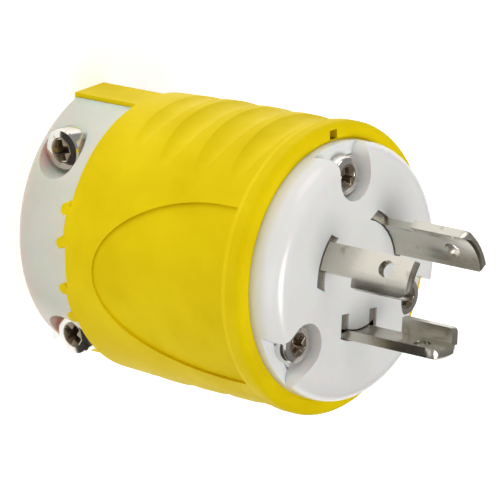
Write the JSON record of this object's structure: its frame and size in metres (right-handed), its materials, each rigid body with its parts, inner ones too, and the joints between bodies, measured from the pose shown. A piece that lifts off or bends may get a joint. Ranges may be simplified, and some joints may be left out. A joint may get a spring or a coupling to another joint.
{
  "type": "locking power plug",
  "caption": "Locking power plug: curved blades on a round moulded housing that push in and turn to lock, with a screw cord clamp whose jaws slide at its cord end.",
  "frame": {"origin": "centre of the mating face, on the plug's axis", "axes": "+Z along the plug's axis, out of the blades, with the plug standing on its cord end; the cord clamp's two screws go in along +Y, and the ground blade is on the +X side"},
  "size_m": [0.0486, 0.0486, 0.0753],
  "materials": {
    "yellow_nylon": "satin moulded",
    "white_nylon": "glossy moulded",
    "natural_nylon": "milky, slightly clear",
    "plated_brass": "satin nickel plate",
    "bright_steel": "bright nickel plate",
    "terminal_brass": "plain brass",
    "ground_green": "green dyed head"
  },
  "bodies": {
    "shell": {"housing": "yellow_nylon", "face": "white_nylon", "terminal_block": "white_nylon", "narrow_line_blade": "plated_brass", "wide_line_blade": "plated_brass", "ground_blade": "plated_brass", "terminal_screw_1": "terminal_brass", "terminal_screw_2": "terminal_brass", "terminal_screw_3": "ground_green", "pressure_plate_1": "terminal_brass", "pressure_plate_2": "terminal_brass", "pressure_plate_3": "terminal_brass", "assembly_screw_1": "bright_steel", "assembly_screw_2": "bright_steel", "assembly_screw_3": "bright_steel", "threaded_insert_1": "terminal_brass", "threaded_insert_2": "terminal_brass", "threaded_insert_3": "terminal_brass"},
    "front_jaw": {"front_clamp_jaw": "natural_nylon", "clamp_screw_left": "bright_steel", "clamp_screw_right": "bright_steel"},
    "back_jaw": {"back_clamp_jaw": "natural_nylon", "clamp_nut_left": "bright_steel", "clamp_nut_right": "bright_steel"}
  },
  "joints": [
    {"name": "front_jaw_slide", "type": "slide", "parent": "shell", "child": "front_jaw", "axis": [0, -1, 0], "range_m": [0, 0.0015]},
    {"name": "back_jaw_slide", "type": "slide", "parent": "shell", "child": "back_jaw", "axis": [0, 1, 0], "range_m": [0, 0.0015]}
  ]
}
